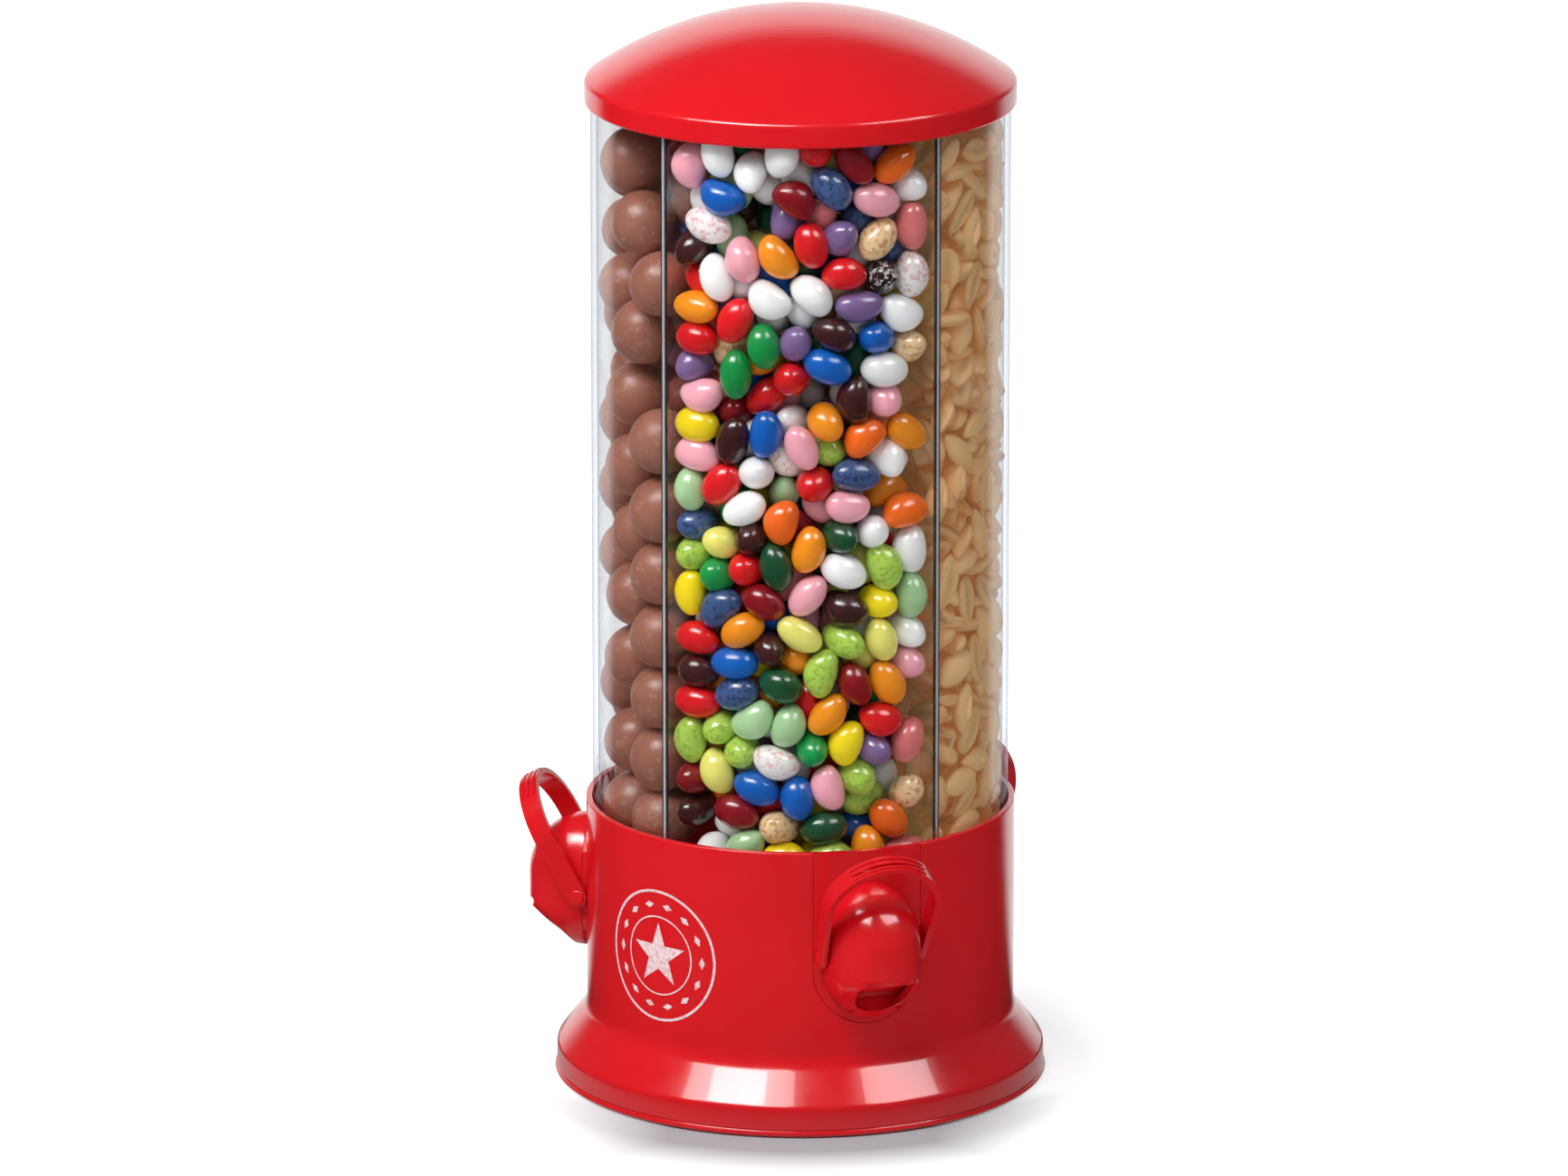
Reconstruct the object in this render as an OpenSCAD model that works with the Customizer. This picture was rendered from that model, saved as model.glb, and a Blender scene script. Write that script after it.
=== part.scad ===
// Three-compartment candy dispenser: a clear tube split by a Y-shaped divider stands on a
// hopper in a flared base. Each compartment empties through its own spout, whose drum gate
// turns with a sprung finger lever. Millimetres, +Z up, origin on the tube's axis at the
// underside of the foot pad. An azimuth of 0 looks towards -Y, and +90 towards +X.

/* [Tube and divider] */
// Outer diameter of the clear tube
tube_d = 142; // [130:1:160]
// Wall of the clear tube
tube_wall = 2; // [1.5:0.1:3]
// Height of the clear tube
tube_h = 258.5; // [150:0.5:320]
// Thickness of the divider's panels
panel_t = 2.2; // [1.6:0.1:3]
// Azimuth of the panels on either side of the front compartment
panel_azimuth = 42; // [38:1:44]
// How far the panels stop below the tube's top edge
panel_drop = 2; // [1:0.5:6]

/* [Lid] */
// Thickness of the lid's dome
lid_wall = 2.2; // [1.6:0.1:3]
// Thickness of the lid's skirt
skirt_wall = 1.7; // [1.2:0.1:2.5]
// How far the skirt hangs below its seat on the tube
skirt_drop = 6.5; // [4:0.5:12]
// Outer radius of the dome's curve
dome_r = 126; // [110:1:160]
// Radius of the shoulder between dome and skirt
shoulder_r = 2.2; // [1:0.1:4]
// Radius of the skirt's lower outer edge
skirt_edge_r = 1.2; // [0.6:0.1:1.5]

/* [Base shell] */
// Height of the base shell's top rim
rim_z = 97.2; // [94:0.2:104]
// Wall of the base shell
shell_wall = 2; // [1.6:0.1:2.6]
// How far the foot band stands out from the wall above it
band_out = 10.3; // [8:0.1:14]
// Height of the foot band's rounded corner
band_z = 9; // [7:0.5:12]
// Radius of the foot band's corner
band_corner_r = 3.4; // [3:0.1:5]
// Radius of the hollow flare above the foot band
flare_r = 10; // [8:0.5:12]
// Height at which the flare starts
flare_z = 27; // [25:0.5:30]
// How far the bottom bead stands out
bead_out = 0.7; // [0.3:0.1:1]
// Height of the bottom bead
bead_h = 1.8; // [1:0.1:2.5]
// Gap between the base shell and the table
shell_lift = 0.4; // [0.2:0.1:0.8]

/* [Hopper] */
// Height of the ledge that carries the tube
ledge_z = 88; // [86:0.5:90]
// Thickness of the ledge
ledge_t = 3; // [2:0.5:4]
// How far the ledge stands out from the hopper's ring
ledge_reach = 3; // [2.6:0.1:3.4]
// Wall of the hopper's ring
ring_wall = 2; // [1.5:0.1:3]
// Height of the hopper's lower edge
ring_bottom_z = 46; // [44:0.5:48]
// Slope of the hopper's floors
floor_slope = 22; // [16:1:24]
// Thickness of the hopper's floors
floor_t = 2.4; // [1.8:0.1:3]
// Width of the rib under each divider panel
rib_w = 4.6; // [4:0.1:6]
// Depth of the slot that holds a divider panel
slot_depth = 4; // [2.5:0.5:6]

/* [Spouts] */
// Azimuth of the front spout; the others follow at thirds of a turn
spout_azimuth = 18.4; // [14:0.2:22]
// Half width of the spout's U-shaped plate
plate_w = 19.2; // [18.8:0.1:20]
// Height of the centre of the plate's round end
plate_z = 55.7; // [54:0.1:57]
// How far the hidden flange reaches past the plate
flange_lap = 4.3; // [3:0.1:6]
// How far the hood stands out from the wall
hood_out = 21; // [20:0.2:24]
// Half width of the hood
hood_w = 16.1; // [15.2:0.1:16.2]
// Height of the hood above its widest level
hood_up = 20; // [20:0.5:25]
// Height of the hood below its widest level
hood_down = 17.3; // [16:0.1:18]
// Lowest level at which the hood has its full width
hood_low_z = 57; // [56:0.5:58]
// Highest level at which the hood has its full width
hood_high_z = 66; // [62:0.5:66]
// Wall of the hood
hood_wall = 2.2; // [1.8:0.1:2.6]
// Radius of the hollow curve that cuts the mouth
mouth_r = 39; // [36:0.5:42]
// Height of the mouth's upper lip
lip_z = 59; // [58:0.1:60]
// Angle at which the mouth's curve meets the lip
lip_angle = 62.5; // [60:0.5:65]
// Half width of the passage inside the spout
throat_w = 9.6; // [9.4:0.1:10]
// Wall beside and below the passage
throat_wall = 1.6; // [1.2:0.1:2]
// Height of the top of the passage
throat_top_z = 78; // [74:0.5:80]
// How far the lower edge of the passage's inlet lies below the pivot
inlet_drop = 4; // [3:0.1:4.4]

/* [Levers and gates] */
// How far the lever's pivot stands out from the wall
pivot_stand = 1.2; // [0.9:0.1:2.2]
// Height of the lever's pivot
pivot_z = 60.8; // [60:0.1:61.5]
// Diameter of the pivot pins
pin_d = 3; // [2.6:0.1:3.4]
// Angle of the resting lever above level
lever_angle = 62; // [50:1:65]
// Distance from the pivot to the outside of the loop
lever_reach = 43; // [41.6:0.1:48]
// Outer radius of the loop's round end
loop_r = 20.2; // [19.6:0.1:21]
// Thickness of the lever's strap
strap_t = 2; // [1.6:0.1:2.4]
// Width of the lever's strap
strap_w = 7; // [5:0.1:7.6]
// Radius of the lever's eyes
eye_r = 3.3; // [3:0.1:3.6]
// Height of the grip ridges on the loop
ridge_h = 0.4; // [0.2:0.1:0.6]
// Outer radius of the drum gate
gate_r = 12.5; // [12:0.1:12.8]
// Wall of the drum gate
gate_wall = 1.6; // [1.2:0.1:2]
// Half width of the drum gate
gate_w = 9; // [8.6:0.1:9.2]
// Wire of the return spring
wire_d = 0.8; // [0.6:0.1:0.9]
// Turns of the return spring
spring_turns = 3; // [2:1:3]

/* [Underside] */
// Thickness of the foot pad
pad_t = 1; // [0.8:0.1:1.5]
// Thickness of the bottom plate
bottom_t = 2; // [1.5:0.1:3]
// Radius of the screw columns
column_r = 4; // [3.6:0.1:4.6]
// Diameter of the bottom screws
screw_d = 3; // [2.6:0.1:3.4]
// Length of the bottom screws under the head
screw_l = 12; // [8:0.5:16]

/* [Fits] */
// Gap between pieces that slide past or into each other
slide_gap = 0.3; // [0.2:0.05:0.4]
// Gap round the plate in the base shell's notch
seam_gap = 0.2; // [0.1:0.05:0.3]
// Radial gap of a pin in its bearing
running_gap = 0.08; // [0.03:0.01:0.1]

/* [Hidden] */
$fn = 96;
flange_gap = 1;
hood_shift = 0.1;
pocket_gap = 0.4;
side_play = 0.35;
floor_gap = 0.7;
hub_gap = 0.6;
coil_gap = 0.5;
slot_gap = 0.05;
pad_inset = 3;
pad_margin = 2;
column_inset = 2.8;
screw_slot = 0.7;
grip_span = 80;
drum_lip_span = 45;
tube_r = tube_d / 2;
tube_inner_r = tube_r - tube_wall;
tube_top_z = ledge_z + tube_h;
shell_inner_r = tube_r + slide_gap;
shell_r = shell_inner_r + shell_wall;
band_r = shell_r + band_out;
pivot_out = shell_r + pivot_stand;
lid_inner_r = tube_r + slide_gap;
lid_r = lid_inner_r + skirt_wall;
ring_r = tube_r - ledge_reach;
ring_inner_r = ring_r - ring_wall;
flange_inner_r = ring_r + flange_gap;
flange_top_z = ledge_z - ledge_t - slide_gap;
flange_w = plate_w + flange_lap;
panel_edge_r = tube_inner_r - slide_gap;
panel_bottom_z = ledge_z - slot_depth;
panel_azimuths = [-panel_azimuth, panel_azimuth, 180];
hood_base = shell_r + hood_shift;
cavity_start = shell_inner_r + slide_gap;
mouth_out = hood_base + hood_out + mouth_r * cos(lip_angle);
mouth_z = lip_z - mouth_r * sin(lip_angle);
gate_angles = [-85, -10];
drum_r = gate_r + pocket_gap;
block_start = pivot_out - gate_r + pocket_gap;
throat_side = throat_w + throat_wall;
floor_lip = block_start - floor_gap;
floor_lip_z = pivot_z - inlet_drop;
lever_inner_w = hood_w + pocket_gap;
lever_outer_w = lever_inner_w + strap_t;
loop_centre = lever_reach - loop_r;
hub_r = 3.2;
spring_inner_w = gate_w + slide_gap;
spring_outer_w = hood_w - hood_wall - side_play;
coil_r = pin_d / 2 + coil_gap + wire_d / 2;
bottom_z = pad_t + bottom_t;
bottom_plate_r = band_r - shell_wall - slide_gap;
pad_r = bottom_plate_r - pad_inset;
column_out = shell_inner_r - column_inset;
head_r = screw_d;
head_h = screw_d / 2;
rim_round = 0.4;
groove = 0.3;
cut_start = ring_r - 8;
seat_reach = 1;
shoulder_rise = 0.4;
RED = [0.85, 0.08, 0.10];
CLEAR = [0.85, 0.88, 0.92, 0.35];
STEEL = [0.70, 0.70, 0.72];

FRONT = spout_azimuth;
LEFT = spout_azimuth - 120;
REAR = spout_azimuth + 120;
SPOUTS = [FRONT, LEFT, REAR];

// Points of an arc from angle a0 to a1 in steps of n.
function arc(cx, cy, r, a0, a1, n) =
    [for (i = [0:n]) let (a = a0 + (a1 - a0) * i / n) [cx + r * cos(a), cy + r * sin(a)]];

// Angle of the line that joins the hollow flare to the foot band's round corner.
function flare_angle() =
    let (dx = band_r - band_corner_r - (shell_r + flare_r), dz = band_z - flare_z)
    atan2(dz, dx) + acos(-(flare_r + band_corner_r) / norm([dx, dz]));

// Flare and foot band of the base shell, offset inwards by t.
function foot_curve(t) = concat(
    arc(shell_r + flare_r, flare_z, flare_r + t, 180, 180 + flare_angle(), 10),
    arc(band_r - band_corner_r, band_z, band_corner_r - t, flare_angle(), 0, 6)
);

// The same list from its end to its start.
function reversed(list) = [for (i = [len(list) - 1:-1:0]) list[i]];

// Turns the local frame so that +X points out of the wall at an azimuth.
module at_azimuth(azimuth) {
    rotate([0, 0, azimuth - 90]) children();
}

// Puts a shape drawn in the outward-and-up plane on a pivot, centred on the spout.
module on_pivot() {
    translate([pivot_out, 0, pivot_z]) rotate([90, 0, 0]) children();
}

// Extrudes a shape drawn in the sideways-and-up plane from x0 to x1.
module along_out(x0, x1) {
    translate([x0, 0, 0]) rotate([90, 0, 90]) linear_extrude(x1 - x0) children();
}

// Wedge between two angles, out to radius r.
module wedge(r, a0, a1) {
    polygon(concat([[0, 0]], arc(0, 0, r, a0, a1, 6)));
}

// Ring of a cylinder wall between two heights.
module ring(r_outer, r_inner, z0, z1) {
    translate([0, 0, z0]) difference() {
        cylinder(r = r_outer, h = z1 - z0);
        translate([0, 0, -1]) cylinder(r = r_inner, h = z1 - z0 + 2);
    }
}

// Upright U with a round lower end, in the sideways-and-up plane.
module u_outline(half_width, top_z) {
    translate([0, plate_z]) circle(r = half_width);
    translate([-half_width, plate_z]) square([2 * half_width, top_z - plate_z]);
}

// Rounded body of a hood, drawn in by t on every side.
module hood_body(t) {
    out = hood_out - t;
    profile = concat(
        [for (i = [0:6]) let (a = 90 - 15 * i) [out * cos(a), hood_high_z + (hood_up - t) * sin(a)]],
        [for (i = [0:6]) let (a = -15 * i) [out * cos(a), hood_low_z + (hood_down - t) * sin(a)]]
    );
    translate([hood_base, 0, 0])
        scale([1, (hood_w - t) / out, 1])
        rotate_extrude($fn = 40) polygon(profile);
}

module lid() {
    seat_z = tube_top_z;
    fillet_z = seat_z + shoulder_rise;
    dome_z = fillet_z - sqrt((dome_r - shoulder_r) ^ 2 - (lid_r - shoulder_r) ^ 2);
    polar = asin((lid_r - shoulder_r) / (dome_r - shoulder_r));
    inner_dome_r = dome_r - lid_wall;
    inner_polar = asin((tube_inner_r - seat_reach) / inner_dome_r);
    skirt_z = seat_z - skirt_drop;
    color(RED) rotate_extrude($fn = 180) polygon(concat(
        arc(0, dome_z, dome_r, 90, 90 - polar, 24),
        arc(lid_r - shoulder_r, fillet_z, shoulder_r, 90 - polar, 0, 6),
        arc(lid_r - skirt_edge_r, skirt_z + skirt_edge_r, skirt_edge_r, 0, -90, 4),
        [[lid_inner_r, skirt_z], [lid_inner_r, seat_z], [tube_inner_r - seat_reach, seat_z]],
        arc(0, dome_z, inner_dome_r, 90 - inner_polar, 90, 20)
    ));
}

module clear_tube() {
    color(CLEAR) ring(tube_r, tube_inner_r, ledge_z, tube_top_z);
}

module divider() {
    color(CLEAR) translate([0, 0, panel_bottom_z]) linear_extrude(tube_h + slot_depth - panel_drop)
        intersection() {
            circle(r = panel_edge_r);
            for (a = panel_azimuths) rotate(a - 90) translate([0, -panel_t / 2]) square([tube_r, panel_t]);
        }
}

module hopper_floor(azimuth, side_a, side_b) {
    centre_z = floor_lip_z + floor_lip * tan(floor_slope);
    intersection() {
        translate([0, 0, ring_bottom_z]) linear_extrude(ledge_z - ring_bottom_z)
            intersection() {
                circle(r = ring_inner_r + ring_wall / 2);
                wedge(2 * tube_r, side_a - 90, side_b - 90);
            }
        translate([0, 0, centre_z - floor_t / 2 / cos(floor_slope)])
            at_azimuth(azimuth) rotate([0, floor_slope, 0])
            cube([4 * tube_r, 4 * tube_r, floor_t], center = true);
    }
}

module hopper() {
    color(RED) difference() {
        union() {
            ring(ring_r, ring_inner_r, ring_bottom_z, ledge_z - ledge_t / 2);
            ring(tube_r, ring_inner_r, ledge_z - ledge_t, ledge_z);
            hopper_floor(FRONT, -panel_azimuth, panel_azimuth);
            hopper_floor(REAR, panel_azimuth, 180);
            hopper_floor(LEFT, -180, -panel_azimuth);
            intersection() {
                cylinder(r = ring_inner_r + ring_wall / 2, h = ledge_z);
                for (a = panel_azimuths) at_azimuth(a)
                    translate([0, -rib_w / 2, ring_bottom_z]) cube([tube_r, rib_w, ledge_z - ring_bottom_z]);
            }
        }
        for (a = panel_azimuths) at_azimuth(a)
            translate([-panel_t / 2, -panel_t / 2 - slot_gap, panel_bottom_z])
            cube([panel_edge_r + panel_t / 2 + slide_gap, panel_t + 2 * slot_gap, slot_depth + 1]);
        for (a = SPOUTS) at_azimuth(a)
            translate([floor_lip, -throat_side - slide_gap, ring_bottom_z - 1])
            cube([tube_r, 2 * (throat_side + slide_gap),
                  throat_top_z + throat_wall + slide_gap - ring_bottom_z + 1]);
    }
}

module base_shell() {
    bead_top_z = shell_lift + bead_h;
    profile = concat(
        [[shell_r, rim_z - rim_round]],
        foot_curve(0),
        [[band_r, bead_top_z + 2 * groove], [band_r - groove, bead_top_z + groove], [band_r, bead_top_z]],
        arc(band_r, shell_lift + bead_h / 2, bead_out, 90, -90, 4),
        [[band_r, shell_lift], [band_r - shell_wall, shell_lift]],
        reversed(foot_curve(shell_wall)),
        [[shell_inner_r, rim_z], [shell_r - rim_round, rim_z]]
    );
    color(RED) difference() {
        union() {
            rotate_extrude($fn = 180) polygon(profile);
            for (a = SPOUTS) at_azimuth(a + 60) translate([column_out, 0, bottom_z])
                cylinder(r = column_r, h = ring_bottom_z - bottom_z, $fn = 48);
        }
        for (a = SPOUTS) {
            at_azimuth(a) along_out(cut_start, band_r + 1) u_outline(plate_w, rim_z + 1);
            at_azimuth(a + 60) translate([column_out, 0, bottom_z - 1])
                cylinder(d = screw_d, h = screw_l, $fn = 32);
        }
    }
}

module bottom_plate() {
    color(RED) difference() {
        translate([0, 0, pad_t]) cylinder(r = bottom_plate_r, h = bottom_t);
        for (a = SPOUTS) at_azimuth(a + 60) translate([column_out, 0, 0]) {
            cylinder(r = screw_d / 2 + slide_gap, h = bottom_z + 1, $fn = 32);
            cylinder(r = head_r + slide_gap, h = pad_t + head_h, $fn = 32);
        }
    }
}

module foot_pad() {
    color([0.15, 0.15, 0.16]) difference() {
        cylinder(r = pad_r, h = pad_t);
        for (a = SPOUTS) at_azimuth(a + 60) translate([column_out, 0, -1])
            cylinder(r = head_r + pad_margin, h = pad_t + 2, $fn = 32);
    }
}

module base_screws() {
    head_z = pad_t + head_h;
    color(STEEL) for (a = SPOUTS) at_azimuth(a + 60) translate([column_out, 0, 0]) difference() {
        union() {
            translate([0, 0, pad_t]) cylinder(r = head_r, h = head_h, $fn = 32);
            translate([0, 0, head_z]) cylinder(d = screw_d, h = screw_l - head_h, $fn = 32);
        }
        for (turn = [0, 90]) rotate(turn) translate([0, 0, pad_t])
            cube([head_r * 1.2, screw_slot, head_h], center = true);
    }
}

// Plate and hidden flange that hold a spout in the base shell's notch.
module spout_plate() {
    intersection() {
        along_out(cut_start, band_r) u_outline(plate_w - seam_gap, rim_z);
        union() {
            ring(shell_r, shell_inner_r, 0, rim_z);
            ring(shell_r - shell_wall / 2, flange_inner_r, 0, flange_top_z);
        }
    }
    intersection() {
        along_out(cut_start, band_r) u_outline(flange_w, flange_top_z);
        ring(shell_inner_r - slide_gap, flange_inner_r, 0, flange_top_z);
    }
}

module spout(azimuth) {
    outside = [2 * tube_r, 2 * hood_w + 4, 2 * rim_z];
    color(RED) at_azimuth(azimuth) difference() {
        union() {
            spout_plate();
            intersection() {
                hood_body(0);
                translate([cavity_start, -outside[1] / 2, 0]) cube(outside);
            }
            translate([block_start, -throat_side, pivot_z - drum_r - throat_wall])
                cube([cavity_start - block_start, 2 * throat_side,
                      throat_top_z + throat_wall - pivot_z + drum_r + throat_wall]);
            on_pivot() linear_extrude(2 * throat_side, center = true) intersection() {
                circle(r = drum_r + throat_wall);
                wedge(2 * gate_r, gate_angles[0] - drum_lip_span, gate_angles[0]);
            }
        }
        difference() {
            intersection() {
                hood_body(hood_wall);
                translate([cavity_start, -outside[1] / 2, 0]) cube(outside);
            }
            on_pivot() linear_extrude(2 * throat_side, center = true) intersection() {
                circle(r = drum_r + throat_wall);
                wedge(2 * gate_r, gate_angles[0] - drum_lip_span, gate_angles[0]);
            }
        }
        translate([block_start - 1, -throat_w, pivot_z - inlet_drop])
            cube([cavity_start - block_start + 2, 2 * throat_w, throat_top_z - pivot_z + inlet_drop]);
        on_pivot() cylinder(r = drum_r, h = 2 * throat_w, center = true);
        on_pivot() cylinder(r = hub_r + hub_gap, h = 2 * (hood_w - hood_wall), center = true, $fn = 48);
        on_pivot() cylinder(r = pin_d / 2 + running_gap, h = 4 * hood_w, center = true, $fn = 48);
        for (side = [-1, 1]) translate([0, side * (lever_inner_w + lever_outer_w) / 2, 0])
            on_pivot() cylinder(r = eye_r + pocket_gap, h = strap_t + 2 * side_play, center = true, $fn = 48);
        translate([mouth_out, 0, mouth_z]) rotate([90, 0, 0])
            cylinder(r = mouth_r, h = 4 * hood_w, center = true, $fn = 120);
    }
}

// Outline of the lever's loop: a round end on two legs that draw in towards the pivot.
module loop_outline(r, foot_w) {
    translate([0, loop_centre]) circle(r = r);
    polygon([[-r, loop_centre], [r, loop_centre], [foot_w, 0], [-foot_w, 0]]);
}

module lever(azimuth) {
    color(RED) at_azimuth(azimuth) difference() {
        union() {
            translate([pivot_out, 0, pivot_z]) rotate([0, -lever_angle, 0]) rotate([0, 0, -90]) {
                linear_extrude(strap_w, center = true) difference() {
                    loop_outline(loop_r, lever_outer_w);
                    loop_outline(loop_r - strap_t, lever_inner_w);
                    translate([-lever_inner_w, -1]) square([2 * lever_inner_w, 2]);
                }
                for (z = [-1, 0, 1]) translate([0, loop_centre, z * strap_w * 0.3])
                    linear_extrude(strap_w * 0.12, center = true) intersection() {
                        difference() {
                            circle(r = loop_r + ridge_h);
                            circle(r = loop_r - strap_t / 2);
                        }
                        wedge(2 * loop_r, 90 - grip_span / 2, 90 + grip_span / 2);
                    }
            }
            for (side = [-1, 1]) translate([0, side * (lever_inner_w + lever_outer_w) / 2, 0])
                on_pivot() cylinder(r = eye_r, h = strap_t, center = true, $fn = 48);
        }
        on_pivot() cylinder(d = pin_d, h = 3 * hood_w, center = true, $fn = 48);
    }
}

module gate(azimuth) {
    color(RED) at_azimuth(azimuth) difference() {
        union() {
            on_pivot() linear_extrude(2 * gate_w, center = true) intersection() {
                difference() {
                    circle(r = gate_r);
                    circle(r = gate_r - gate_wall);
                }
                wedge(2 * gate_r, gate_angles[0], gate_angles[1]);
            }
            for (side = [-1, 1]) translate([0, side * (gate_w - gate_wall / 2), 0])
                on_pivot() linear_extrude(gate_wall, center = true) {
                    intersection() {
                        circle(r = gate_r);
                        wedge(2 * gate_r, gate_angles[0], gate_angles[1]);
                    }
                    circle(r = hub_r);
                }
            translate([0, (gate_w + spring_outer_w) / 2, 0])
                on_pivot() cylinder(r = hub_r, h = spring_outer_w - gate_w, center = true, $fn = 48);
        }
        on_pivot() cylinder(d = pin_d, h = 4 * gate_w, center = true, $fn = 48);
    }
}

module pivot_pins(azimuth) {
    start = gate_w - gate_wall;
    color(STEEL) at_azimuth(azimuth) for (side = [-1, 1])
        translate([0, side * (start + lever_outer_w) / 2, 0])
        on_pivot() cylinder(d = pin_d, h = lever_outer_w - start, center = true, $fn = 48);
}

// Points of one ring of the spring's wire, at step i of its coil.
function wire_ring(i, steps, sides) =
    let (a = 360 * spring_turns * i / steps,
         w = -(spring_inner_w + wire_d / 2)
             - (spring_outer_w - spring_inner_w - wire_d) * i / steps)
    [for (s = [0:sides - 1]) let (b = 360 * s / sides, r = coil_r + wire_d / 2 * cos(b))
        [r * cos(a), w + wire_d / 2 * sin(b), r * sin(a)]];

module return_spring(azimuth) {
    steps = 20 * spring_turns;
    sides = 8;
    points = [for (i = [0:steps]) each wire_ring(i, steps, sides)];
    walls = [for (i = [0:steps - 1], s = [0:sides - 1]) let (n = (s + 1) % sides)
        [i * sides + s, i * sides + n, (i + 1) * sides + n, (i + 1) * sides + s]];
    ends = [[for (s = [sides - 1:-1:0]) s], [for (s = [0:sides - 1]) steps * sides + s]];
    color(STEEL) at_azimuth(azimuth) translate([pivot_out, 0, pivot_z])
        polyhedron(points, concat(walls, ends));
}

lid();
clear_tube();
divider();
hopper();
base_shell();
bottom_plate();
foot_pad();
base_screws();
spout(FRONT);  // spout_front
spout(LEFT);  // spout_left
spout(REAR);  // spout_rear
lever(FRONT);  // lever_front
lever(LEFT);  // lever_left
lever(REAR);  // lever_rear
gate(FRONT);  // gate_front
gate(LEFT);  // gate_left
gate(REAR);  // gate_rear
pivot_pins(FRONT);  // pivot_pins_front
pivot_pins(LEFT);  // pivot_pins_left
pivot_pins(REAR);  // pivot_pins_rear
return_spring(FRONT);  // return_spring_front
return_spring(LEFT);  // return_spring_left
return_spring(REAR);  // return_spring_rear
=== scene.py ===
import math

import bmesh
import bpy
import numpy as np
from mathutils import Matrix, Vector


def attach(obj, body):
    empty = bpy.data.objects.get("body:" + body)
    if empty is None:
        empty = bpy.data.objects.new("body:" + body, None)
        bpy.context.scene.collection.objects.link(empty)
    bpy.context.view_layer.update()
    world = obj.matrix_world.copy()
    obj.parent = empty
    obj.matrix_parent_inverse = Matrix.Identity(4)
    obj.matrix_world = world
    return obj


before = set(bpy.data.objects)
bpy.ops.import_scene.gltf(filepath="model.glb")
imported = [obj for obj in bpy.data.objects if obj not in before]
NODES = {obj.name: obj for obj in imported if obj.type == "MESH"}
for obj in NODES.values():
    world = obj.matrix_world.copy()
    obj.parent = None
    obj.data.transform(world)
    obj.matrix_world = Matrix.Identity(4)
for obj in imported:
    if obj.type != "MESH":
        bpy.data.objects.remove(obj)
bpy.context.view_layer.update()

MM = 0.001

# Main sizes as part.scad has them, in millimetres and degrees
TUBE_IN = 68.7  # how far out the sweets reach
SHELL_R = 73.3  # outside of the base's wall
PANEL = 42.0  # azimuth of the divider's side panels
PANEL_HALF = 1.1  # half a panel's thickness
SPOUTS = {"front": 18.4, "left": -101.6, "rear": 138.4}  # azimuths
PIVOT_OUT, PIVOT_Z = 74.5, 60.8  # the levers' axes
FILL_FLOOR, FILL_TOP = 86.5, 344.0  # heights between which the sweets lie

# The printed badge: azimuth and height of its centre, and how far it stands off the wall
BADGE_AZIMUTH, BADGE_Z, BADGE_LIFT = -41.0, 56.0, 0.12

# Light
AMBIENT = 0.40  # the world's strength as light
FLOOR_GLOW = 0.7  # the floor's own glow, where the camera sees it
FOOT_R = 0.098  # the foot's radius in metres, where the floor's shading starts

# ---------------------------------------------------------------- helpers


def polar(azimuth, r, z=0.0):
    """The point at an azimuth, which is 0 towards -Y and 90 towards +X."""
    a = math.radians(azimuth)
    return Vector((math.sin(a) * r, -math.cos(a) * r, z))


def link(o):
    bpy.context.scene.collection.objects.link(o)
    return o


def mesh_object(name, verts, faces, smooth=True):
    """verts in millimetres."""
    mesh = bpy.data.meshes.new(name)
    mesh.from_pydata([tuple(float(c) * MM for c in v) for v in verts], [],
                     [tuple(int(i) for i in f) for f in faces])
    mesh.update()
    if smooth:
        mesh.polygons.foreach_set("use_smooth", [True] * len(mesh.polygons))
    return link(bpy.data.objects.new(name, mesh))


def finish_piece(o, material, body):
    """Gives a new piece its look in a material slot, and the body that it rides on."""
    o.data.materials.append(material)
    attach(o, body)


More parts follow.
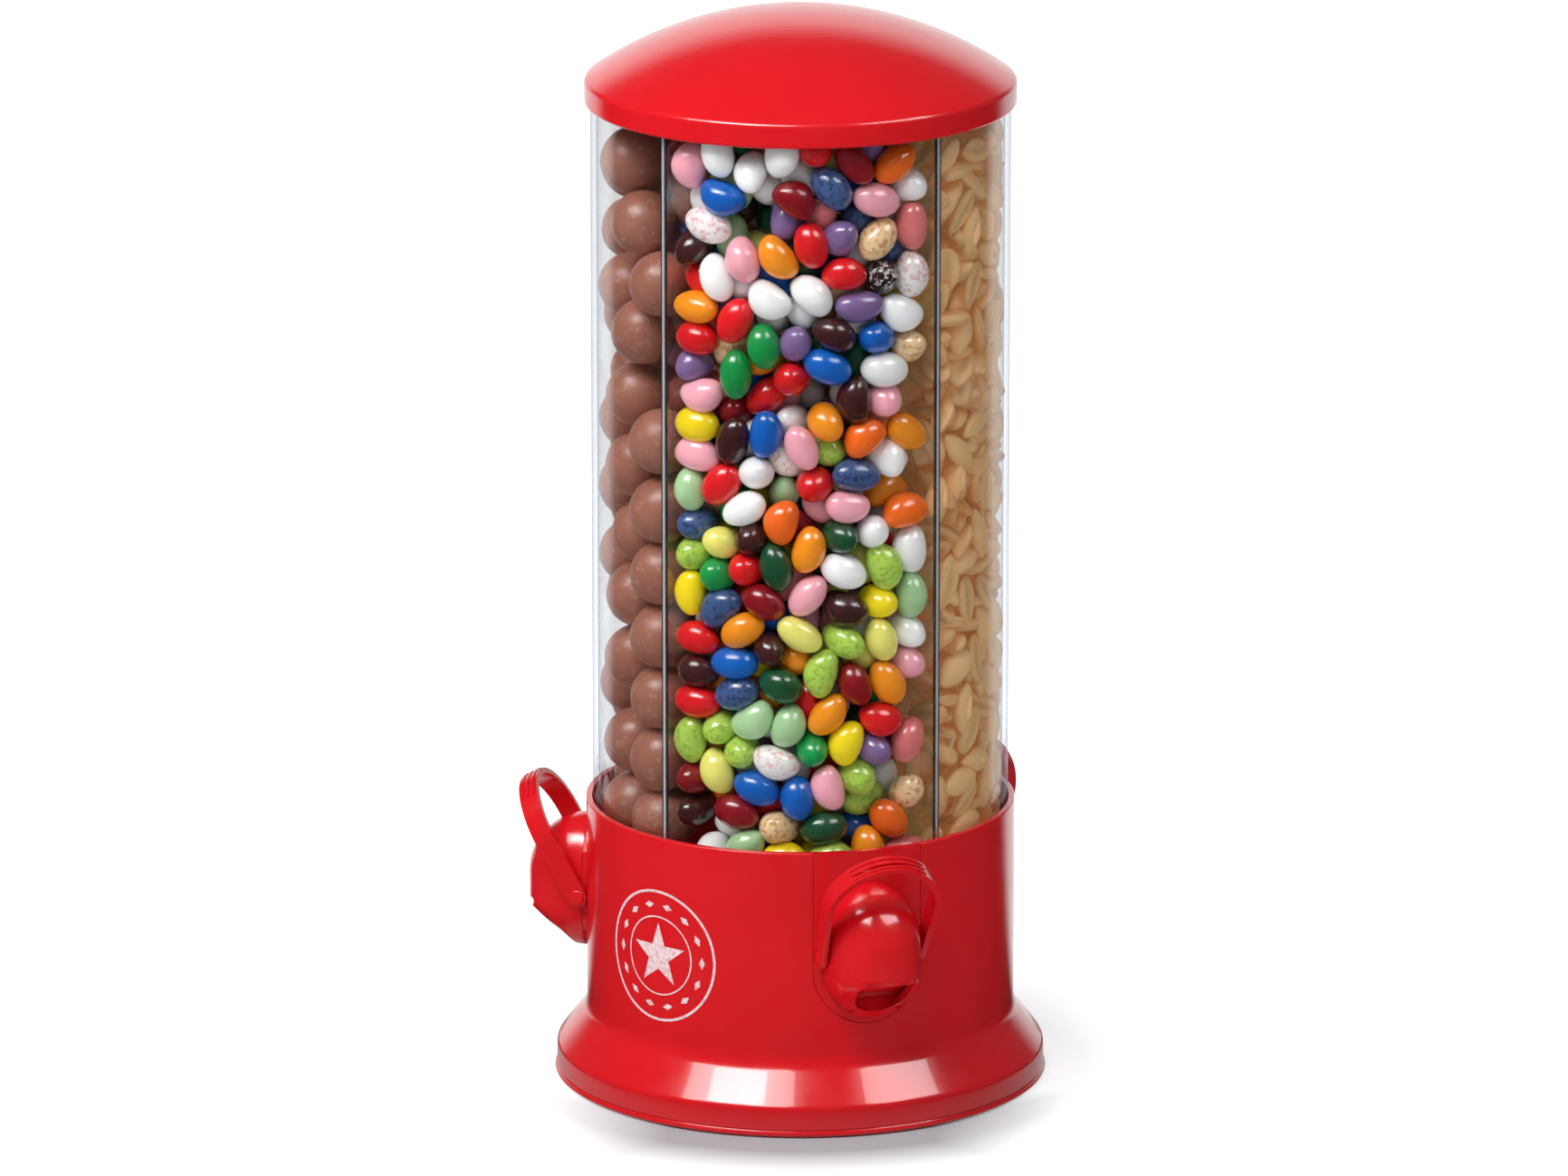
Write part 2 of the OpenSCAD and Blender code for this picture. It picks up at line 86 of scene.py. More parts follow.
class Nodes:
    """Short hand for a material's node tree."""

    def __init__(self, name):
        self.material = bpy.data.materials.new(name)
        self.material.use_nodes = True
        self.tree = self.material.node_tree
        self.tree.nodes.clear()
        self.out = self.add("ShaderNodeOutputMaterial")
        self.place = self.add("ShaderNodeTexCoord").outputs["Object"]

    def add(self, kind, inputs=None, **settings):
        n = self.tree.nodes.new(kind)
        for k, v in settings.items():
            setattr(n, k, v)
        for k, v in (inputs or {}).items():
            if isinstance(v, bpy.types.NodeSocket):
                self.tree.links.new(v, n.inputs[k])
            else:
                n.inputs[k].default_value = v
        return n

    def noise(self, scale, detail=2.0, rough=0.5):
        return self.add("ShaderNodeTexNoise", {"Vector": self.place, "Scale": scale, "Detail": detail,
                                               "Roughness": rough}).outputs["Fac"]

    def span(self, value, low, high, first=0.0, last=1.0):
        """Takes the values between low and high to those between first and last, and holds beyond them."""
        return self.add("ShaderNodeMapRange", {"Value": value, "From Min": low, "From Max": high,
                                               "To Min": first, "To Max": last}).outputs["Result"]

    def either(self, fac, a, b):
        """Mixes two shaders."""
        n = self.add("ShaderNodeMixShader", {"Fac": fac})
        self.tree.links.new(a.outputs[0], n.inputs[1])
        self.tree.links.new(b.outputs[0], n.inputs[2])
        return n

    def ramp(self, fac, *stops):
        n = self.add("ShaderNodeValToRGB", {"Fac": fac})
        e = n.color_ramp.elements
        while len(e) < len(stops):
            e.new(0.5)
        for item, (at, colour) in zip(e, stops):
            item.position = at
            item.color = colour if isinstance(colour, tuple) else (colour, colour, colour, 1)
        return n.outputs["Color"]

    def mix(self, fac, a, b, how="MIX"):
        n = self.add("ShaderNodeMix", data_type="RGBA", blend_type=how)
        for key, v in ((0, fac), (6, a), (7, b)):
            if isinstance(v, bpy.types.NodeSocket):
                self.tree.links.new(v, n.inputs[key])
            else:
                n.inputs[key].default_value = v
        return n.outputs[2]

    def maths(self, how, a, b=0.0):
        n = self.add("ShaderNodeMath", operation=how)
        for key, v in ((0, a), (1, b)):
            if isinstance(v, bpy.types.NodeSocket):
                self.tree.links.new(v, n.inputs[key])
            else:
                n.inputs[key].default_value = v
        return n.outputs[0]

    def bump(self, height, strength, distance, normal=None):
        inputs = {"Height": height, "Strength": strength, "Distance": distance}
        if normal is not None:
            inputs["Normal"] = normal
        return self.add("ShaderNodeBump", inputs).outputs["Normal"]

    def surface(self, shader):
        self.tree.links.new(shader.outputs[0], self.out.inputs["Surface"])
        return self.material

    def plastic(self, **inputs):
        return self.add("ShaderNodeBsdfPrincipled", {k.replace("_", " "): v for k, v in inputs.items()})


# ---------------------------------------------------------------- materials


def red_plastic():
    n = Nodes("red_gloss")
    wide = n.noise(28.0, 2.0)
    fine = n.noise(900.0, 2.0)
    colour = n.mix(wide, (0.64, 0.004, 0.010, 1), (0.72, 0.006, 0.011, 1))
    rough = n.ramp(n.noise(120.0, 3.0), (0.3, 0.17), (0.7, 0.24))
    normal = n.bump(fine, 0.05, 0.00005)
    normal = n.bump(wide, 0.10, 0.0004, normal)
    s = n.plastic(Base_Color=colour, Roughness=rough, Normal=normal, IOR=1.45)
    s.inputs["Coat Weight"].default_value = 0.5
    s.inputs["Coat Roughness"].default_value = 0.04
    return n.surface(s)


def clear_plastic(name, tint, edge, gloss_rough, strips=False):
    """See-through plastic that greys towards its outline as painted shade, which stands in for the dark rims
    that bending light gives. strips paints the panels' outer edges as an opaque band: painted shade on
    either side of a light core, which is a painted highlight."""
    n = Nodes(name)
    # Painted shade: the see-through colour greys towards the outline and goes nearly black at grazing angles,
    # for the dark rims of bent light
    facing = n.add("ShaderNodeLayerWeight", {"Blend": 0.5}).outputs["Facing"]
    streak = n.maths("ADD", n.maths("MULTIPLY", n.noise(60.0, 3.0), 0.3), 0.85)
    wide = n.maths("MULTIPLY", n.maths("POWER", facing, 5.0), streak)
    colour = n.mix(n.maths("POWER", facing, 30.0), n.mix(wide, tint, edge), (0.10, 0.10, 0.12, 1))
    through = n.add("ShaderNodeBsdfTransparent", {"Color": colour})
    shine = n.add("ShaderNodeBsdfGlossy", {"Color": (1, 1, 1, 1), "Roughness": gloss_rough})
    fresnel = n.add("ShaderNodeFresnel", {"IOR": 1.45}).outputs["Fac"]
    sheet = n.either(n.maths("MULTIPLY", fresnel, 0.30), through, shine)
    if not strips:
        return n.surface(sheet)
    place = n.add("ShaderNodeSeparateXYZ", {"Vector": n.place}).outputs
    flat = n.add("ShaderNodeCombineXYZ", {"X": place["X"], "Y": place["Y"]})
    radius = n.add("ShaderNodeVectorMath", {0: flat.outputs[0]}, operation="LENGTH").outputs["Value"]
    a = math.radians(PANEL)
    off = n.maths("ABSOLUTE", n.maths("ADD", n.maths("MULTIPLY", n.maths("ABSOLUTE", place["X"]), math.cos(a)),
                                      n.maths("MULTIPLY", place["Y"], math.sin(a))))
    # Painted light: the panels' outer edges are an opaque band, a light grey core as a painted highlight
    # between dark sides as painted shade
    colour = n.mix(n.span(off, 0.0004, 0.0006), (0.62, 0.62, 0.66, 1), (0.035, 0.03, 0.035, 1))
    painted_edge_strip = n.plastic(Base_Color=colour, Roughness=0.25)
    return n.surface(n.either(n.maths("GREATER_THAN", radius, 0.0679), sheet, painted_edge_strip))


def steel():
    n = Nodes("steel_wire")
    grain = n.noise(2500.0, 2.0)
    s = n.plastic(Base_Color=n.mix(grain, (0.50, 0.50, 0.52, 1), (0.66, 0.66, 0.68, 1)),
                  Roughness=n.ramp(grain, (0.3, 0.22), (0.7, 0.36)), Normal=n.bump(grain, 0.1, 0.00005))
    s.inputs["Metallic"].default_value = 1.0
    return n.surface(s)


def rubber():
    n = Nodes("foot_rubber")
    grain = n.noise(1800.0, 3.0)
    s = n.plastic(Base_Color=n.mix(grain, (0.018, 0.018, 0.020, 1), (0.035, 0.035, 0.037, 1)),
                  Roughness=n.ramp(grain, (0.3, 0.65), (0.7, 0.85)), Normal=n.bump(grain, 0.4, 0.0001))
    return n.surface(s)


def malt():
    n = Nodes("malt_chocolate")
    wide = n.noise(70.0, 3.0)
    fine = n.noise(650.0, 3.0, 0.6)
    colour = n.mix(wide, (0.34, 0.115, 0.070, 1), (0.50, 0.20, 0.135, 1))
    scuffs = n.ramp(n.noise(380.0, 4.0, 0.7), (0.56, 0.0), (0.66, 1.0))
    colour = n.mix(n.maths("MULTIPLY", scuffs, 0.45), colour, (0.72, 0.42, 0.33, 1))
    s = n.plastic(Base_Color=colour, Roughness=n.ramp(wide, (0.3, 0.30), (0.7, 0.42)),
                  Normal=n.bump(fine, 0.25, 0.0003))
    s.inputs["Coat Weight"].default_value = 0.15
    s.inputs["Coat Roughness"].default_value = 0.25
    return n.surface(s)


def jelly():
    n = Nodes("jelly_sweet")
    tint = n.add("ShaderNodeAttribute", attribute_name="tint").outputs["Color"]
    speck = n.add("ShaderNodeAttribute", attribute_name="speck")
    dots = n.ramp(n.noise(520.0, 3.0, 0.65), (0.53, 0.0), (0.58, 1.0))
    cloud = n.noise(240.0, 2.0)
    body = n.mix(n.maths("MULTIPLY", cloud, 0.35), tint, (1, 1, 1, 1), "SOFT_LIGHT")
    colour = n.mix(n.maths("MULTIPLY", dots, speck.outputs["Alpha"]), body, speck.outputs["Color"])
    s = n.plastic(Base_Color=colour, Roughness=n.ramp(cloud, (0.3, 0.16), (0.7, 0.24)),
                  Normal=n.bump(n.noise(300.0, 2.0), 0.12, 0.0004))
    s.inputs["Coat Weight"].default_value = 0.5
    s.inputs["Coat Roughness"].default_value = 0.07
    return n.surface(s)


def peanut():
    n = Nodes("roasted_peanut")
    roast_and_groove_shade = n.add("ShaderNodeAttribute", attribute_name="roast_and_groove_shade").outputs["Fac"]
    fine = n.noise(1300.0, 3.0, 0.6)
    wide = n.noise(150.0, 3.0)
    colour = n.mix(wide, (1.0, 0.66, 0.31, 1), (0.90, 0.50, 0.20, 1))
    # Darkens towards roast brown: roasting at the rim, and painted shade in the groove
    colour = n.mix(n.maths("MULTIPLY", roast_and_groove_shade, 0.85), colour, (0.36, 0.13, 0.03, 1))
    s = n.plastic(Base_Color=colour, Roughness=n.ramp(fine, (0.3, 0.42), (0.7, 0.6)),
                  Normal=n.bump(fine, 0.35, 0.0003))
    # Painted light: the peanuts glow a little in their own colour, which brightens them beyond what the lamps
    # give
    n.tree.links.new(colour, s.inputs["Emission Color"])
    s.inputs["Emission Strength"].default_value = 0.07
    return n.surface(s)


def white_print():
    n = Nodes("white_print")
    worn = n.noise(900.0, 3.0)
    colour = n.mix(n.ramp(worn, (0.35, 0.0), (0.6, 1.0)), (0.72, 0.40, 0.42, 1), (0.90, 0.72, 0.74, 1))
    s = n.plastic(Base_Color=colour, Roughness=n.ramp(worn, (0.3, 0.35), (0.7, 0.5)))
    return n.surface(s)


def floor_material():
    """Pale paper with a painted contact shadow, its colour greying towards the foot. It glows for the camera
    except just in front of the foot, where the painted shadow shows, and for reflections it glows as painted
    light, bright close to the foot and behind the object."""
    n = Nodes("floor")
    path = n.add("ShaderNodeLightPath")
    radius = n.add("ShaderNodeVectorMath", {0: n.place}, operation="LENGTH").outputs["Value"]
    place = n.add("ShaderNodeSeparateXYZ", {"Vector": n.place}).outputs
    # Painted reflection: for glossy rays the floor glows, bright close to the foot and towards the back
    near = n.span(radius, FOOT_R, 0.116, 0.45, 0.0)
    back = n.span(n.maths("DIVIDE", place["Y"], radius), 0.60, 0.74, 0.02, 1.0)
    mirrored = n.add("ShaderNodeEmission", {"Strength": n.maths("MAXIMUM", near, back)})
    # Painted contact shadow: the paper's colour goes from pale to grey towards the foot
    paper_painted_shadow = n.add("ShaderNodeBsdfDiffuse", {"Color": n.mix(n.span(radius, FOOT_R, 0.135), (0.42, 0.43, 0.45, 1),
                                                           (0.93, 0.97, 0.98, 1))})
    out = n.span(radius, FOOT_R, 0.150, 0.0, FLOOR_GLOW)
    aside = n.span(n.maths("ABSOLUTE", place["X"]), 0.045, 0.092, 0.0, FLOOR_GLOW)
    rear = n.span(place["Y"], -0.07, -0.03, 0.0, FLOOR_GLOW)
    glow = n.maths("MAXIMUM", out, n.maths("MAXIMUM", aside, rear))
    glow = n.add("ShaderNodeEmission", {"Strength": n.maths("MULTIPLY", path.outputs["Is Camera Ray"], glow)})
    seen = n.add("ShaderNodeAddShader")
    n.tree.links.new(paper_painted_shadow.outputs[0], seen.inputs[0])
    n.tree.links.new(glow.outputs[0], seen.inputs[1])
    return n.surface(n.either(path.outputs["Is Glossy Ray"], seen, mirrored))


RED = red_plastic()
CLEAR = clear_plastic("clear_tube", (0.992, 0.994, 0.996, 1), (0.62, 0.65, 0.70, 1), 0.03)
CLEAR_PANEL = clear_plastic("clear_panel", (0.97, 0.975, 0.98, 1), (0.50, 0.52, 0.56, 1), 0.05, strips=True)
STEEL = steel()
RUBBER = rubber()
MALT, JELLY, PEANUT, PRINT = malt(), jelly(), peanut(), white_print()

for name, o in NODES.items():
    if name == "clear_tube":
        m = CLEAR
    elif name == "divider":
        m = CLEAR_PANEL
    elif name.startswith(("pivot_pins", "return_spring", "base_screws")):
        m = STEEL
    elif name == "foot_pad":
        m = RUBBER
    else:
        m = RED
    o.data.materials.clear()
    o.data.materials.append(m)
    o.visible_shadow = name not in ("clear_tube", "divider")

# ---------------------------------------------------------------- candies

GROW_FROM, GROWN_AT = 0.45, 0.5  # share of the radius at the start, and share of the steps until it is full
SEARCH_EVERY, SEARCH_REACH = 6, 1.15  # steps between searches for neighbours, and their reach in diameters
PUSH, SINK = 1.4, 0.05  # how hard squeezed spheres part, and millimetres sunk in a step
CULL_FROM, CULL_EVERY, CULL_SHARE = 0.62, 16, 0.985  # when squeezed pieces leave, and the share that stays


def neighbours(pos, owner, reach):
    """Pairs of spheres of different pieces closer than reach, by a grid of cells."""
    cell = np.floor((pos - pos.min(0)) / reach).astype(np.int64) + 1
    dims = cell.max(0) + 2
    key = (cell[:, 0] * dims[1] + cell[:, 1]) * dims[2] + cell[:, 2]
    order = np.argsort(key, kind="stable")
    sorted_key = key[order]
    first, second = [], []
    for dx in (-1, 0, 1):
        for dy in (-1, 0, 1):
            for dz in (-1, 0, 1):
                shift = (dx * dims[1] + dy) * dims[2] + dz
                if shift < 0:
                    continue
                start = np.searchsorted(sorted_key, key + shift, "left")
                end = np.searchsorted(sorted_key, key + shift, "right")
                for k in range(int((end - start).max(initial=0))):
                    mine = np.nonzero(start + k < end)[0]
                    other = order[start[mine] + k]
                    keep = (owner[mine] != owner[other]) & ((mine < other) if shift == 0 else True)
                    first.append(mine[keep])
                    second.append(other[keep])
    return np.concatenate(first), np.concatenate(second)


def rigid(pos, template):
    """Brings each piece's spheres back to its shape. Gives the new places and the turns."""
    m = len(template)
    p = pos.reshape(-1, m, 3)
    c = p.mean(1, keepdims=True)
    if m == 1:
        return pos, None
    if m == 2:
        axis = p[:, 1] - p[:, 0]
        axis /= np.linalg.norm(axis, axis=1, keepdims=True)
        return (c + axis[:, None, :] * template[None, :, :1]).reshape(-1, 3), None
    u, s, vt = np.linalg.svd(np.einsum("nmi,mj->nij", p - c, template))
    u[:, :, 2] *= np.linalg.det(u @ vt)[:, None]
    turn = u @ vt
    return (c + np.einsum("nij,mj->nmi", turn, template)).reshape(-1, 3), turn


def settle(template, radius, count, a0, a1, seed, steps, allow, core=None):
    """Fills the compartment between two azimuths with pieces made of spheres, which grow and push
    each other apart, sink a little, and leave where they stay squeezed by more than allow. core is the
    radius and height of a middle that is left empty. Gives the pieces' centres and turns."""
    rng = np.random.default_rng(seed)
    template = np.asarray(template, float)
    m = len(template)
    half = math.radians((a1 - a0) / 2)
    mid = math.radians((a0 + a1) / 2)
    ang = rng.uniform(-half, half, count)
    rad = TUBE_IN * np.sqrt(rng.uniform(0.02 if core is None else (core[0] / TUBE_IN) ** 2, 0.95, count))
    c = np.stack([rad * np.cos(ang), rad * np.sin(ang), rng.uniform(FILL_FLOOR + 8, FILL_TOP - 4, count)], 1)
    turn = np.linalg.qr(rng.normal(size=(count, 3, 3)))[0]
    turn[:, :, 2] *= np.linalg.det(turn)[:, None]
    pos = (c[:, None, :] + np.einsum("nij,mj->nmi", turn, template)).reshape(-1, 3)
    normals = [(-math.sin(half), math.cos(half)), (-math.sin(half), -math.cos(half))]
    for step in range(steps):
        r = radius * min(1.0, GROW_FROM + (1 - GROW_FROM) * step / (steps * GROWN_AT))
        owner = np.repeat(np.arange(len(pos) // m), m)
        if step % SEARCH_EVERY == 0:
            pair = neighbours(pos, owner, 2 * radius * SEARCH_REACH)
        i, j = pair
        d = pos[j] - pos[i]
        dist = np.sqrt((d * d).sum(1)) + 1e-9
        over = 2 * r - dist
        hit = over > 0
        i, j, push = i[hit], j[hit], (over[hit] / dist[hit] * 0.5)[:, None] * d[hit]
        move = np.stack([np.bincount(j, push[:, k], len(pos)) - np.bincount(i, push[:, k], len(pos))
                         for k in range(3)], 1)
        shared = np.bincount(i, minlength=len(pos)) + np.bincount(j, minlength=len(pos))
        pos += move / np.maximum(shared, 1)[:, None] * PUSH
        pos[:, 2] -= SINK * (1 - step / steps)
        for nx, ny in normals:
            gap = np.maximum(pos[:, 0] * nx + pos[:, 1] * ny + r + PANEL_HALF, 0)
            pos[:, 0] -= gap * nx
            pos[:, 1] -= gap * ny
        rr = np.hypot(pos[:, 0], pos[:, 1])
        f = np.where(rr > TUBE_IN - r, (TUBE_IN - r) / rr, 1.0)
        if core is not None:
            f = np.where((rr < core[0] + r) & (pos[:, 2] < core[1]), (core[0] + r) / np.maximum(rr, 1), f)
        pos[:, :2] *= f[:, None]
        pos[:, 2] = np.clip(pos[:, 2], FILL_FLOOR + r, FILL_TOP - r)
        pos, turned = rigid(pos, template)
        turn = turn if turned is None else turned
        if step > steps * CULL_FROM and step % CULL_EVERY == 0:
            worst = np.zeros(len(pos) // m)
            np.maximum.at(worst, owner[i], over[hit])
            np.maximum.at(worst, owner[j], over[hit])
            keep = worst <= max(allow, np.quantile(worst, CULL_SHARE))
            if not keep.all():
                pos = pos.reshape(-1, m, 3)[keep].reshape(-1, 3)
                turn = turn[keep]
                pair = neighbours(pos, np.repeat(np.arange(len(pos) // m), m), 2 * radius * SEARCH_REACH)
    p = pos.reshape(-1, m, 3)
    if m == 2:
        axis = p[:, 1] - p[:, 0]
        axis /= np.linalg.norm(axis, axis=1, keepdims=True)
        b = np.cross(axis, turn[:, :, 2])
        b /= np.linalg.norm(b, axis=1, keepdims=True)
        turn = np.stack([axis, b, np.cross(axis, b)], 2)
    home = np.stack([[math.sin(mid), -math.cos(mid), 0], [math.cos(mid), math.sin(mid), 0], [0, 0, 1.0]], 1)
    return p.mean(1) @ home.T, home @ turn


def cube_sphere(n):
    """Unit sphere of evenly sized quads: points and faces."""
    bm = bmesh.new()
    bmesh.ops.create_cube(bm, size=2.0)
    bmesh.ops.subdivide_edges(bm, edges=bm.edges, cuts=n - 1, use_grid_fill=True)
    bm.verts.ensure_lookup_table()
    p = np.array([v.co for v in bm.verts])
    faces = np.array([[v.index for v in f.verts] for f in bm.faces])
    bm.free()
    x, y, z = (p ** 2).T
    p = p * np.sqrt(np.stack([1 - y / 2 - z / 2 + y * z / 3, 1 - x / 2 - z / 2 + x * z / 3,
                              1 - x / 2 - y / 2 + x * y / 3], 1))
    return p, faces


def joined(name, shapes, kinds, centres, turns, scales, attributes):
    """One mesh of all pieces. attributes gives, per name, a function of piece and shape whose result is
    one colour, or one for each vertex."""
    verts, faces, base = [], [], 0
    colours = {k: [] for k in attributes}
    for i, (c, turn, s, k) in enumerate(zip(centres, turns, scales, kinds)):
        p, f = shapes[k]
        verts.append((p * s) @ turn.T + c)
        faces.append(f + base)
        base += len(p)
        for key, values in attributes.items():
            v = values(i, k)
            colours[key].append(np.tile(v, (len(p), 1)) if np.ndim(v) == 1 else v)
    verts, faces = np.concatenate(verts), np.concatenate(faces)
    mesh = bpy.data.meshes.new(name)
    mesh.vertices.add(len(verts))
    mesh.vertices.foreach_set("co", (verts * MM).ravel())
    mesh.loops.add(faces.size)
    mesh.loops.foreach_set("vertex_index", faces.ravel())
    mesh.polygons.add(len(faces))
    mesh.polygons.foreach_set("loop_start", np.arange(len(faces)) * 4)
    mesh.polygons.foreach_set("use_smooth", np.ones(len(faces), bool))
    for key, values in colours.items():
        a = mesh.color_attributes.new(key, "FLOAT_COLOR", "POINT")
        a.data.foreach_set("color", np.concatenate(values).astype(np.float32).ravel())
    mesh.update(calc_edges=True)
    mesh.validate()
    return link(bpy.data.objects.new(name, mesh))


def srgb(r, g, b):
    """A screen colour of 0 to 255 as the linear one that nodes take."""
    return tuple((c / 255 / 12.92) if c <= 10 else (((c / 255) + 0.055) / 1.055) ** 2.4 for c in (r, g, b))


def wobble(p, amount, seed, waves=4):
    """Low bumps on a shape, for a form that no two pieces share."""
    rng = np.random.default_rng(seed)
    out = np.zeros(len(p))
    for _ in range(waves):
        d = rng.normal(size=3)
        out += np.sin(p @ d * rng.uniform(1.5, 3.0) + rng.uniform(0, 6.28))
    return p * (1 + amount * out / waves)[:, None]


def malt_balls():
    """Chocolate-coated balls, a little uneven, in the left compartment."""
    p, f = cube_sphere(9)
    shapes = [(wobble(p, 0.035, 20 + k) * 11.3, f) for k in range(4)]
    centres, turns = settle([[0, 0, 0]], 11.2, 140, -180, -PANEL, seed=8, steps=700, allow=1.4)
    rng = np.random.default_rng(31)
    n = len(centres)
    o = joined("malt_ball_fill", shapes, rng.integers(0, 4, n), centres, turns,
               rng.uniform(0.97, 1.0, (n, 1)), {})
    finish_piece(o, MALT, "root")


# Jelly sweet colours: screen colour, share, then the specks' colour and strength
SWEETS = [
    ((22, 70, 42), 8, None), ((20, 140, 66), 7, None), ((252, 252, 250), 20, None),
    ((250, 214, 20), 10, None), ((236, 226, 110), 7, None), ((246, 140, 24), 7, None),
    ((244, 100, 24), 6, None), ((250, 166, 180), 12, None), ((232, 120, 120), 5, None),
    ((214, 20, 26), 11, None), ((130, 14, 24), 5, None), ((58, 24, 24), 4, None),
    ((12, 88, 178), 6, None), ((118, 92, 140), 5, None), ((168, 204, 80), 5, (90, 100, 30, 0.35)),
    ((244, 202, 152), 5, (180, 100, 40, 0.6)), ((40, 24, 28), 3, (225, 215, 210, 0.85)),
    ((60, 84, 130), 4, (25, 35, 70, 0.6)), ((165, 205, 150), 4, None),
    ((246, 240, 236), 3, (225, 120, 130, 0.55)),
]
BEAN = (8.35, 6.0, 5.7)  # half length, width and height


def jelly_beans():
    """Jelly beans, straight to bent, in the front compartment."""
    p, f = cube_sphere(6)
    shapes = []
    for k, bend in enumerate((0.0, 0.7, 1.2, 1.6)):
        q = wobble(p, 0.03, 40 + k)
        q = q * np.array(BEAN)
        q[:, 1] += bend * ((q[:, 0] / BEAN[0]) ** 2 - 0.35)
        shapes.append((q, f))
    centres, turns = settle([[-2.6, 0, 0], [2.6, 0, 0]], 5.75, 620, -PANEL, PANEL, seed=4, steps=900, allow=1.3)
    rng = np.random.default_rng(41)
    n = len(centres)
    weights = np.array([s[1] for s in SWEETS], float)
    pick = rng.choice(len(SWEETS), n, p=weights / weights.sum())
    tints = []
    for k in pick:
        c = np.array(srgb(*SWEETS[k][0])) * rng.uniform(0.88, 1.08)
        tints.append(np.append(np.clip(c, 0, 0.97), 1.0))
    marks = [SWEETS[k][2] for k in pick]
    specks = [np.array([*srgb(*mark[:3]), mark[3]]) if mark else np.zeros(4) for mark in marks]
    o = joined("jelly_bean_fill", shapes, rng.integers(0, 4, n), centres, turns,
               rng.uniform(0.94, 1.04, (n, 3)),
               {"tint": lambda i, k: tints[i], "speck": lambda i, k: specks[i]})
    finish_piece(o, JELLY, "root")


def peanut_shape(seed):
    """Half a peanut: round outside, flat inside with a groove, one pointed end."""
    rng = np.random.default_rng(seed)
    p, f = cube_sphere(5)
    x, y, z = p.T
    point = 1 - 0.30 * np.clip(x, 0, 1) ** 1.5 + rng.uniform(-0.05, 0.05)
    q = np.stack([x * 9.2 * (1 + 0.06 * np.clip(x, 0, 1) ** 3), y * 4.9 * point,
                  np.where(z > 0, z * 3.3, z * 1.5)], 1)
    inner = np.clip(-z, 0, 1)
    q[:, 2] += inner * 1.1 * np.exp(-(y / 0.30) ** 2) * np.clip(1 - (x / 0.85) ** 2, 0, 1)
    q[:, 2] += rng.uniform(-0.9, 0.9) * x ** 2 + rng.uniform(-0.5, 0.5) * x * y
    q = wobble(q / 9, 0.05, seed + 1) * 9
    rim = np.exp(-(z / 0.35) ** 2)
    # The rim is browner from roasting; the darkening along the groove on the flat face is painted shade
    roast_and_groove_shade = np.clip(rim * 0.45 + inner * 0.5 * np.exp(-(y / 0.22) ** 2), 0, 1)
    return (q, f), np.stack([roast_and_groove_shade, roast_and_groove_shade, roast_and_groove_shade, np.ones(len(roast_and_groove_shade))], 1)


def peanuts():
    """Split peanuts in the rear right compartment, round an empty middle that no side shows."""
    made = [peanut_shape(60 + k) for k in range(6)]
    template = [[x, y, 0] for x in (-6.2, 0, 6.2) for y in ((-1.9, 1.9) if x == 0 else (0,))]
    centres, turns = settle(template, 2.9, 1440, PANEL, 180, seed=5, steps=500, allow=0.8, core=(42, 318))
    rng = np.random.default_rng(51)
    n = len(centres)
    # Per piece, a random strength for the roast browning and the painted groove shade
    roast_and_shade_scale = rng.uniform(0.5, 1.3, n)
    o = joined("peanut_fill", [m[0] for m in made], rng.integers(0, 6, n), centres, turns,
               rng.uniform(0.88, 1.06, (n, 3)), {"roast_and_groove_shade": lambda i, k: made[k][1] * roast_and_shade_scale[i]})
    finish_piece(o, PEANUT, "root")


malt_balls()
jelly_beans()
peanuts()

# ---------------------------------------------------------------- printed badge


def ring_points(r0, r1, steps):
    """A flat ring as quads in the badge's plane."""
    pts, quads = [], []
    for i in range(steps):
        a = 2 * math.pi * i / steps
        pts += [(r0 * math.cos(a), r0 * math.sin(a)), (r1 * math.cos(a), r1 * math.sin(a))]
        j = (i + 1) % steps
        quads.append((2 * i, 2 * i + 1, 2 * j + 1, 2 * j))
    return pts, quads


def star_points(r_out, r_in, tips, cx=0.0, cy=0.0, turn=0.0):
    """A filled star of rings round its centre, fine enough to follow the wall."""
    edge = []
    for i in range(2 * tips):
        a = math.pi * i / tips + math.radians(90 + turn)
        b = a + math.pi / tips
        r, rb = (r_out, r_in) if i % 2 == 0 else (r_in, r_out)
        for f in (0, 1 / 3, 2 / 3):
            edge.append((r * math.cos(a) * (1 - f) + rb * math.cos(b) * f,
                         r * math.sin(a) * (1 - f) + rb * math.sin(b) * f))
    n, levels = len(edge), 4
    pts = [(cx, cy)]
    for k in range(1, levels + 1):
        pts += [(cx + x * k / levels, cy + y * k / levels) for x, y in edge]
    cells = [(0, 1 + i, 1 + (i + 1) % n) for i in range(n)]
    for k in range(levels - 1):
        for i in range(n):
            a, b = 1 + k * n + i, 1 + k * n + (i + 1) % n
            cells.append((a, a + n, b + n, b))
    return pts, cells


def badge():
    """A thin print round the wall: a ring with a large star in a wreath of small lozenges."""
    parts = [ring_points(22.1, 23.0, 96), star_points(11.5, 4.6, 5), ring_points(13.4, 13.9, 72)]
    for k in range(14):
        a = 2 * math.pi * k / 14
        parts.append(star_points(2.1, 1.1, 2, 17.9 * math.cos(a), 17.9 * math.sin(a), math.degrees(a)))
    verts, faces = [], []
    for pts, cells in parts:
        base = len(verts)
        for u, v in pts:
            verts.append(polar(BADGE_AZIMUTH + math.degrees(u / SHELL_R), SHELL_R + BADGE_LIFT, BADGE_Z + v))
        faces += [tuple(base + i for i in c) for c in cells]
    finish_piece(mesh_object("badge_print", verts, faces), PRINT, "root")


badge()

# ---------------------------------------------------------------- spout mouths


